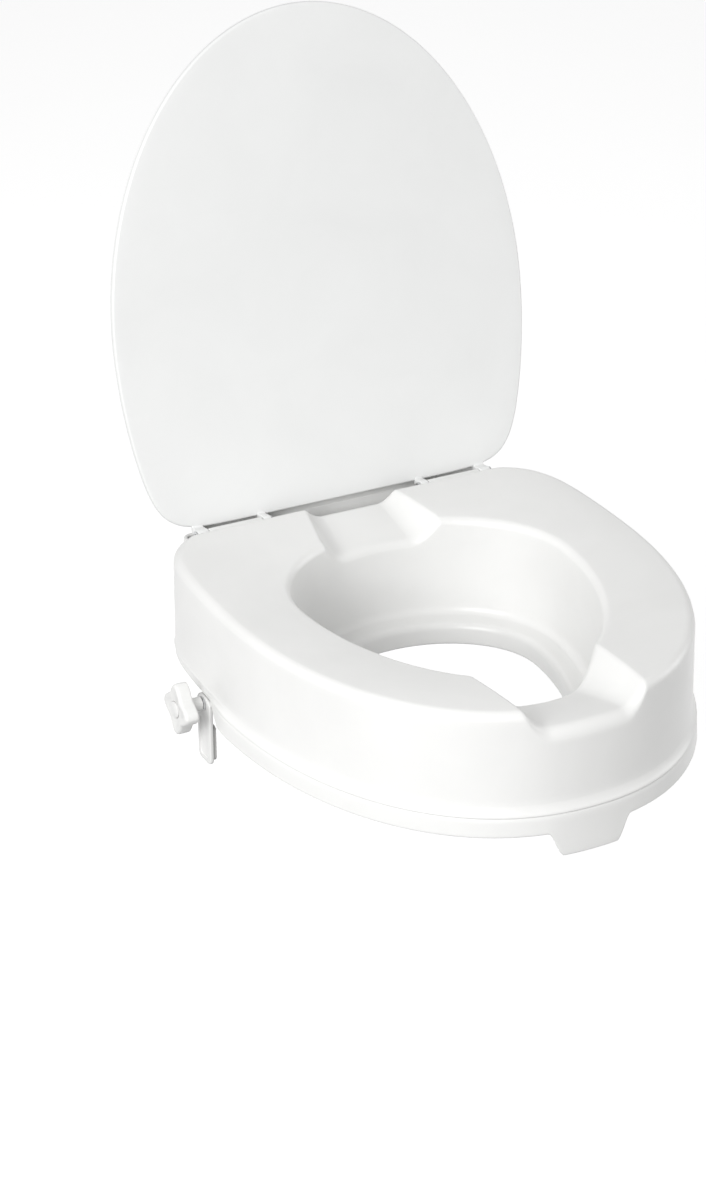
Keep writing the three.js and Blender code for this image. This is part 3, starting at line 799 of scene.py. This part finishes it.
# ---------------------------------------------------------------- rubber pads on the bowl rim
def build_rim_pad(name, degrees):
    """A non-slip pad with grip ribs on the face that meets the bowl."""
    body = prism_z("pad_body", pad_outline(degrees, *PAD_SIZE), 0.9, 3.7)
    bevel(body, 0.5, 3)
    pieces = [body]
    centre, along, out = pad_frame(degrees)
    last, pitch = 6, 4.2
    for i in range(-last, last + 1):
        middle = centre + along * i * pitch
        half_width = 8.6 if abs(i) < last else 6.0
        outline = [middle + out * p + along * q
                   for p, q in rounded_rect(-half_width, half_width, -1.2, 1.2, 1.1, 4)]
        grip = prism_z("grip", outline, 0.0, 1.4)
        bevel(grip, 0.35, 2)
        pieces.append(grip)
    return join(name, pieces)


# ---------------------------------------------------------------- materials
class Nodes:
    """A material and the means to build its node tree."""

    def __init__(self, name):
        self.material = bpy.data.materials.new(name)
        self.material.use_nodes = True
        self.tree = self.material.node_tree
        self.shader = self.tree.nodes["Principled BSDF"]
        self.coords = self.add("ShaderNodeTexCoord").outputs["Object"]

    def add(self, kind, **settings):
        node = self.tree.nodes.new(kind)
        for key, value in settings.items():
            setattr(node, key, value)
        return node

    def link(self, output, socket):
        self.tree.links.new(output, socket)

    def noise(self, scale, detail=3.0, roughness=0.5, stretch=None, distortion=0.0):
        node = self.add("ShaderNodeTexNoise")
        node.inputs["Scale"].default_value = scale
        node.inputs["Detail"].default_value = detail
        node.inputs["Roughness"].default_value = roughness
        node.inputs["Distortion"].default_value = distortion
        coords = self.coords
        if stretch:
            mapping = self.add("ShaderNodeMapping")
            mapping.inputs["Scale"].default_value = stretch
            self.link(coords, mapping.inputs["Vector"])
            coords = mapping.outputs["Vector"]
        self.link(coords, node.inputs["Vector"])
        return node.outputs["Fac"]

    def ramp(self, factor, low, high, low_value, high_value):
        node = self.add("ShaderNodeMapRange")
        node.inputs["From Min"].default_value = low
        node.inputs["From Max"].default_value = high
        node.inputs["To Min"].default_value = low_value
        node.inputs["To Max"].default_value = high_value
        self.link(factor, node.inputs["Value"])
        return node.outputs["Result"]

    def blend(self, factor, first, second):
        """A colour between two colours, or between a colour and another node's colour."""
        node = self.add("ShaderNodeMix", data_type="RGBA")
        self.link(factor, node.inputs["Factor"])
        for value, socket in ((first, node.inputs[6]), (second, node.inputs[7])):
            if isinstance(value, tuple):
                socket.default_value = (*value, 1)
            else:
                self.link(value, socket)
        return node.outputs[2]

    def maths(self, operation, first, second):
        node = self.add("ShaderNodeMath", operation=operation)
        for value, socket in ((first, node.inputs[0]), (second, node.inputs[1])):
            if isinstance(value, (int, float)):
                socket.default_value = value
            else:
                self.link(value, socket)
        return node.outputs[0]

    def bump(self, height, distance, strength=1.0, after=None):
        node = self.add("ShaderNodeBump")
        node.inputs["Distance"].default_value = distance
        node.inputs["Strength"].default_value = strength
        self.link(height, node.inputs["Height"])
        if after:
            self.link(after, node.inputs["Normal"])
        return node.outputs["Normal"]


def moulded_plastic(name, colour, shade, roughness, grain=1.0):
    """White moulded plastic: faint flow marks, an orange-peel surface, scuffs and worn-smooth patches."""
    n = Nodes(name)
    cloud = n.noise(9, 4, 0.55, distortion=0.6)
    speck = n.noise(700, 2, 0.5)
    tone = n.blend(n.ramp(cloud, 0.35, 0.7, 0, 1), colour, shade)
    scuff = n.noise(60, 6, 0.7, stretch=(1, 4, 9), distortion=1.2)
    scuffed = n.ramp(scuff, 0.64, 0.74, 0, 1)
    tone = n.blend(n.maths("MULTIPLY", scuffed, 0.25), tone, tuple(0.93 * c for c in shade))
    n.link(tone, n.shader.inputs["Base Color"])
    gloss = n.ramp(n.noise(26, 5, 0.6), 0.3, 0.75, roughness - 0.05, roughness + 0.07)
    gloss = n.maths("ADD", gloss, n.maths("MULTIPLY", scuffed, 0.12))
    n.link(gloss, n.shader.inputs["Roughness"])
    peel = n.bump(n.noise(240, 3, 0.5), 0.00009 * grain, 0.55)
    fine = n.bump(speck, 0.00003 * grain, 0.4, peel)
    marks = n.bump(scuffed, 0.00002, 0.3, fine)
    n.link(marks, n.shader.inputs["Normal"])
    n.shader.inputs["IOR"].default_value = 1.49
    n.shader.inputs["Subsurface Weight"].default_value = 0.08
    n.shader.inputs["Subsurface Radius"].default_value = (1, 1, 1)
    n.shader.inputs["Subsurface Scale"].default_value = 0.002
    return n.material


def soft_rubber(name, colour):
    """Pale rubber with a fine matt skin and dust in its texture."""
    n = Nodes(name)
    cloud = n.noise(40, 5, 0.6)
    n.link(n.blend(n.ramp(cloud, 0.3, 0.75, 0, 1), colour, tuple(0.82 * c for c in colour)),
           n.shader.inputs["Base Color"])
    n.link(n.ramp(n.noise(300, 4, 0.6), 0.3, 0.7, 0.62, 0.85), n.shader.inputs["Roughness"])
    n.link(n.bump(n.noise(1500, 3, 0.6), 0.00008, 0.6), n.shader.inputs["Normal"])
    return n.material


def stainless_steel(name):
    """Turned stainless steel with fine lines and a few duller patches."""
    n = Nodes(name)
    dull = n.ramp(n.noise(120, 5, 0.6), 0.35, 0.75, 0, 1)
    n.link(n.blend(dull, (0.66, 0.67, 0.68), (0.52, 0.52, 0.52)), n.shader.inputs["Base Color"])
    n.shader.inputs["Metallic"].default_value = 1.0
    lines = n.noise(900, 2, 0.5, stretch=(8, 1, 1))
    n.link(n.maths("ADD", n.ramp(lines, 0.3, 0.7, 0.2, 0.36), n.maths("MULTIPLY", dull, 0.1)),
           n.shader.inputs["Roughness"])
    n.link(n.bump(lines, 0.00003, 0.4), n.shader.inputs["Normal"])
    return n.material


MATERIALS = {
    "shell_plastic": moulded_plastic("shell_plastic", (0.80, 0.80, 0.79), (0.765, 0.765, 0.755), 0.33),
    "lid_plastic": moulded_plastic("lid_plastic", (0.79, 0.795, 0.79), (0.765, 0.77, 0.765), 0.36, 0.8),
    "clamp_plastic": moulded_plastic("clamp_plastic", (0.79, 0.79, 0.78), (0.74, 0.74, 0.73), 0.38, 1.3),
    "pad_rubber": soft_rubber("pad_rubber", (0.60, 0.60, 0.59)),
    "hardware_steel": stainless_steel("hardware_steel"),
}
SLOT_OF = {part["node"]: part["material_slot"] for part in frame["record"]["subparts"]}


def place(obj, body, node):
    """Puts a piece on its body in place of its CAD node, with the node's material."""
    slot = SLOT_OF[node]
    obj.data.materials.clear()
    obj.data.materials.append(MATERIALS[slot])
    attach(obj, body)
    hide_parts(node)


place(build_seat_shell(), "seat", "seat_shell")
place(build_lid(), "lid", "lid")
for pad_name, pad_degrees in PAD_ANGLES.items():
    place(build_rim_pad(f"rim_pad_{pad_name}_rubber", pad_degrees), "seat", f"rim_pad_{pad_name}")

CLAMP_PIECES = {
    "clamp_jaw": (build_clamp_jaw, "jaw"),
    "jaw_pad": (build_jaw_pad, "jaw"),
    "clamp_washer": (build_clamp_washer, "jaw"),
    "clamp_bolt": (build_clamp_bolt, "knob"),
    "clamp_knob": (build_clamp_knob, "knob"),
    "knob_cap": (build_knob_cap, "knob"),
}
for side, sign in SIDES.items():
    place(build_hinge_pin(f"hinge_pin_{side}_steel", sign), "seat", f"hinge_pin_{side}")
    place(build_hinge_clip(f"hinge_clip_{side}_steel", sign), "seat", f"hinge_clip_{side}")
    place(mirrored(build_clamp_nut(f"clamp_nut_{side}_steel"), sign), "seat", f"clamp_nut_{side}")
    for piece, (build, body) in CLAMP_PIECES.items():
        place(mirrored(build(f"{piece}_{side}_piece"), sign), f"{body}_{side}", f"{piece}_{side}")


# ---------------------------------------------------------------- floor, light and camera, in metres
BOWL_HEIGHT = 0.41                 # of the toilet bowl that the seat would stand on
CAMERA_PLACE = (-1.20300, -2.25116, 1.36706)
CAMERA_TURN = (-26.752, 26.984, -0.377)   # azimuth, elevation and roll, in degrees
LIGHT_TARGET = (0, 0, 0.1)
# Brightness of the room from straight below, 0, through the horizon, 0.5, to straight above, 1.
WORLD_LEVELS = ((0.02, 0.30), (0.46, 0.40), (0.56, 0.82), (0.95, 0.50))


def studio_floor():
    """A plain pale floor, clear when seen from below."""
    size, z = 30.0, -BOWL_HEIGHT
    corners = [(-size, -size, z), (size, -size, z), (size, size, z), (-size, size, z)]
    mesh = bpy.data.meshes.new("floor")
    mesh.from_pydata(corners, [], [(0, 1, 2, 3)])
    floor = bpy.data.objects.new("floor", mesh)
    bpy.context.scene.collection.objects.link(floor)
    n = Nodes("floor_paint")
    n.link(n.blend(n.noise(2, 3), (0.99, 0.99, 0.99), (0.97, 0.97, 0.97)), n.shader.inputs["Base Color"])
    n.shader.inputs["Roughness"].default_value = 0.7
    n.shader.inputs["Emission Color"].default_value = (1, 1, 1, 1)
    n.shader.inputs["Emission Strength"].default_value = 0.3
    one_sided = n.add("ShaderNodeMixShader")
    n.link(n.add("ShaderNodeNewGeometry").outputs["Backfacing"], one_sided.inputs["Fac"])
    n.link(n.shader.outputs["BSDF"], one_sided.inputs[1])
    n.link(n.add("ShaderNodeBsdfTransparent").outputs["BSDF"], one_sided.inputs[2])
    n.link(one_sided.outputs["Shader"], n.tree.nodes["Material Output"].inputs["Surface"])
    mesh.materials.append(n.material)
    floor.visible_diffuse = False


def area_light(name, location, size, power):
    """A square white light that faces the seat."""
    light = bpy.data.lights.new(name, "AREA")
    light.shape = "RECTANGLE"
    light.size = light.size_y = size
    light.energy = power
    obj = bpy.data.objects.new(name, light)
    obj.location = location
    obj.rotation_euler = (Vector(LIGHT_TARGET) - Vector(location)).to_track_quat("-Z", "Y").to_euler()
    bpy.context.scene.collection.objects.link(obj)


def studio_light():
    """A white room, brightest just above the horizon, a large soft light and a weak one at the right."""
    world = bpy.data.worlds.new("studio")
    world.use_nodes = True
    tree = world.node_tree
    background = tree.nodes["Background"]
    coords = tree.nodes.new("ShaderNodeTexCoord")
    split = tree.nodes.new("ShaderNodeSeparateXYZ")
    height = tree.nodes.new("ShaderNodeMapRange")
    height.inputs["From Min"].default_value = -1
    levels = tree.nodes.new("ShaderNodeValToRGB").color_ramp
    for position, strength in WORLD_LEVELS:
        stop = levels.elements.new(position)
        stop.color = (strength, strength, strength, 1)
    levels.elements.remove(levels.elements[0])
    levels.elements.remove(levels.elements[-1])
    ramp = tree.nodes["Color Ramp"]
    tree.links.new(coords.outputs["Generated"], split.inputs[0])
    tree.links.new(split.outputs["Z"], height.inputs["Value"])
    tree.links.new(height.outputs["Result"], ramp.inputs["Fac"])
    tree.links.new(ramp.outputs["Color"], background.inputs["Strength"])
    background.inputs["Color"].default_value = (1, 1, 1, 1)
    bpy.context.scene.world = world
    area_light("key", (-2.05, -1.52, 1.43), 1.4, 66)
    area_light("rim", (2.5, -0.2, 0.55), 1.2, 12)


def photo_camera():
    """A long lens at the photograph's angle."""
    azimuth, elevation, roll = (math.radians(angle) for angle in CAMERA_TURN)
    back = Vector((math.sin(azimuth) * math.cos(elevation), -math.cos(azimuth) * math.cos(elevation),
                   math.sin(elevation)))
    right = (-back).cross(Vector((0, 0, 1))).normalized()
    up = right.cross(-back)
    right_rolled = right * math.cos(roll) + up * math.sin(roll)
    up_rolled = up * math.cos(roll) - right * math.sin(roll)
    camera = bpy.data.cameras.new("camera")
    camera.sensor_width = 36
    camera.lens = 105
    camera.clip_end = 100
    obj = bpy.data.objects.new("camera", camera)
    turn = Matrix((right_rolled, up_rolled, back)).transposed().to_4x4()
    obj.matrix_world = Matrix.Translation(CAMERA_PLACE) @ turn
    bpy.context.scene.collection.objects.link(obj)
    bpy.context.scene.camera = obj


studio_floor()
studio_light()
photo_camera()
bpy.context.scene.view_settings.view_transform = "Standard"
